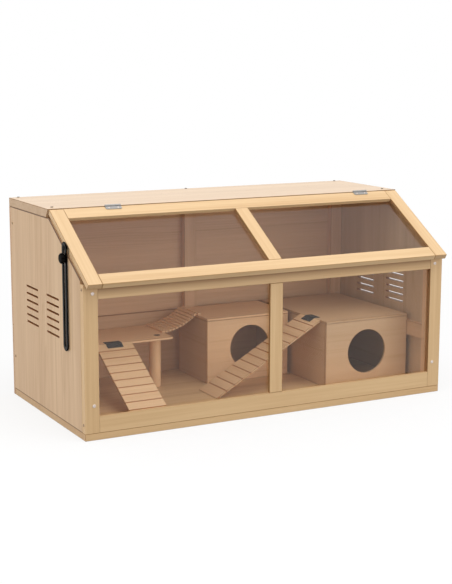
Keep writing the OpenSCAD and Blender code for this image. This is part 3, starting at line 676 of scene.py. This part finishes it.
def head_mesh():
    """Domed screw head with a cross recess, one unit in radius and in height, on z = 0."""
    bm = bmesh.new()
    rows = []
    for r, z in HEAD_RINGS:
        turns = (2 * math.pi * k / HEAD_STEPS for k in range(HEAD_STEPS))
        rows.append([bm.verts.new((r * math.cos(a), r * math.sin(a), z)) for a in turns])
    for lower, upper in zip(rows, rows[1:]):
        for k in range(HEAD_STEPS):
            after = (k + 1) % HEAD_STEPS
            bm.faces.new((lower[k], lower[after], upper[after], upper[k]))
    bm.faces.new(rows[-1])
    bm.faces.new(rows[0][::-1])
    head = new_piece("head", bm)
    cutters = [recess_cutter(turn) for turn in (0, math.pi / 2)]
    for cutter in cutters:
        cut = head.modifiers.new("cut", "BOOLEAN")
        cut.object = cutter
        cut.solver = "EXACT"
    bpy.context.view_layer.update()
    made = bpy.data.meshes.new_from_object(head.evaluated_get(bpy.context.evaluated_depsgraph_get()))
    for obj in (head, *cutters):
        bpy.data.objects.remove(obj)
    return made


HEAD = head_mesh()


def by_screw(points, axis):
    """Points gathered by screw, each as its place across the axis and its depth along it."""
    groups = []
    for point in points:
        depth = point.dot(axis)
        flat = point - axis * depth
        for group in groups:
            if (group[0][0] - flat).length < SCREW_APART:
                group.append((flat, depth))
                break
        else:
            groups.append([(flat, depth)])
    return groups


def head_place(group, axis, height, turn):
    """Matrix that puts the unit head where a screw's own head is, turned round the screw."""
    spread = [[flat[i] for flat, _ in group] for i in range(3)]
    middle = Vector([(min(values) + max(values)) / 2 for values in spread])
    radius = max((flat - middle).length for flat, _ in group)
    seat = middle + axis * (min(depth for _, depth in group) + height)
    upright = (-axis).to_track_quat("Z", "Y").to_matrix().to_4x4()
    size = Matrix.Diagonal((radius, radius, height, 1))
    return Matrix.Translation(seat) @ upright @ Matrix.Rotation(turn, 4, "Z") @ size


def screws(node, body, height, material, *axes):
    """Recessed heads in place of a node's plain screws; each axis points into the wood."""
    points = [v.co.copy() for v in NODES[node].data.vertices]
    pick = random.Random(node)
    bm = bmesh.new()
    for axis in axes:
        own = [p for p in points if len(axes) == 1 or p.dot(axis) <= 0]
        for group in by_screw(own, axis):
            known = set(bm.verts)
            bm.from_mesh(HEAD)
            fresh = [v for v in bm.verts if v not in known]
            place = head_place(group, axis, height, pick.uniform(0, math.pi / 2))
            bmesh.ops.transform(bm, verts=fresh, matrix=place)
    piece = new_piece(f"{node}_heads", bm)
    piece.data.materials.append(material)
    piece.data.polygons.foreach_set("use_smooth", [True] * len(piece.data.polygons))
    piece.data.set_sharp_from_angle(angle=math.radians(40))
    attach(piece, body)
    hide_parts(node)


EVEN_SCRATCH = (300, 300, 300)
# One plated steel in three copies, painted lighter or darker for how light falls on each set of screws: lit,
# in half shade and in shade
ZINC_PAINTED_LIT = metal("screw_painted_lit", srgb(226, 214, 206), roughness=0.4, metallic=0.6, scratch=EVEN_SCRATCH)
ZINC_PAINTED_HALF_SHADE = metal("screw_painted_half_shade", srgb(172, 146, 120), roughness=0.45, metallic=0.6, scratch=EVEN_SCRATCH)
ZINC_PAINTED_SHADE = metal("screw_painted_shade", srgb(118, 108, 101), roughness=0.45, metallic=0.7, scratch=EVEN_SCRATCH)
screws("post_screws", "cage", HEAD_HEIGHT, ZINC_PAINTED_LIT, Y_AXIS)
screws("side_screws", "cage", HEAD_HEIGHT, ZINC_PAINTED_HALF_SHADE, X_AXIS, -X_AXIS)
screws("top_screws", "cage", HEAD_HEIGHT, ZINC_PAINTED_SHADE, -Z_AXIS)
screws("hinge_lid_screws", "lid", HINGE_HEAD_HEIGHT, ZINC_PAINTED_LIT, -LID_OUT)
screws("hinge_board_screws", "cage", HINGE_HEAD_HEIGHT, ZINC_PAINTED_LIT, LID_UP)


# Floor, light and background

FLOOR_REACH = 30
FLOOR_DROP = 0.0003  # keeps the floor out of the plane of the part's foot
FLOOR_NEAR, FLOOR_FAR = 0.7, 2.4  # distances between which the floor turns to plain white
FLOOR_WHITE = 0.78  # share of plain white beside the part, where the floor shows its shadow
FLOOR_TONE = grey(0.93)
FLOOR_BOUNCE = grey(0.25)  # tone of the light that the floor throws back
WORLD_LEVEL = 0.72
LAMP_SIZE = 2.4


def seen_rays(tree, path):
    """1 on the rays that show the background: camera, mirror and see-through ones."""
    largest = path["Is Camera Ray"]
    for name in ("Is Glossy Ray", "Is Transmission Ray"):
        largest = tree.math("MAXIMUM", largest, path[name])
    return largest


def make_floor():
    bm = bmesh.new()
    corners = ((-1, -1), (1, -1), (1, 1), (-1, 1))
    bm.faces.new([bm.verts.new((x * FLOOR_REACH, y * FLOOR_REACH, 0)) for x, y in corners])
    floor = new_piece("floor", bm)
    floor.location.z = -FLOOR_DROP
    tree = new_tree("floor")
    path = tree.add("ShaderNodeLightPath").outputs
    colour = tree.mix(path["Is Diffuse Ray"], FLOOR_TONE, FLOOR_BOUNCE)
    tree.set(Base_Color=colour, Roughness=0.9, Specular_IOR_Level=0.0)
    white = tree.span(tree.length(tree.place()), FLOOR_NEAR, FLOOR_FAR, FLOOR_WHITE, 1.0)
    tree.blend(tree.times(seen_rays(tree, path), white), tree.add("ShaderNodeEmission"))
    floor.data.materials.append(tree.owner)


def make_world():
    """Even light all round, and plain white where the background shows."""
    world = bpy.data.worlds.new("studio")
    tree = Tree(world)
    seen = seen_rays(tree, tree.add("ShaderNodeLightPath").outputs)
    tree.fill(tree.nodes["Background"], Color=grey(1), Strength=tree.span(seen, 0.0, 1.0, WORLD_LEVEL, 1.0))
    scene.world = world


def lamp(name, place, aim, power):
    data = bpy.data.lights.new(name, "AREA")
    data.size = LAMP_SIZE
    data.energy = power
    obj = bpy.data.objects.new(name, data)
    obj.location = place
    obj.rotation_euler = (Vector(aim) - Vector(place)).to_track_quat("-Z", "Y").to_euler()
    scene.collection.objects.link(obj)


make_floor()
make_world()
lamp("key", place=(0.15, -0.9, 3.4), aim=(0, 0, 0.3), power=45)
lamp("front", place=(1.2, -3.3, 0.9), aim=(0, 0, 0.25), power=26)
lamp("side", place=(-3.6, -0.2, 1.0), aim=(-0.4, 0, 0.25), power=35)
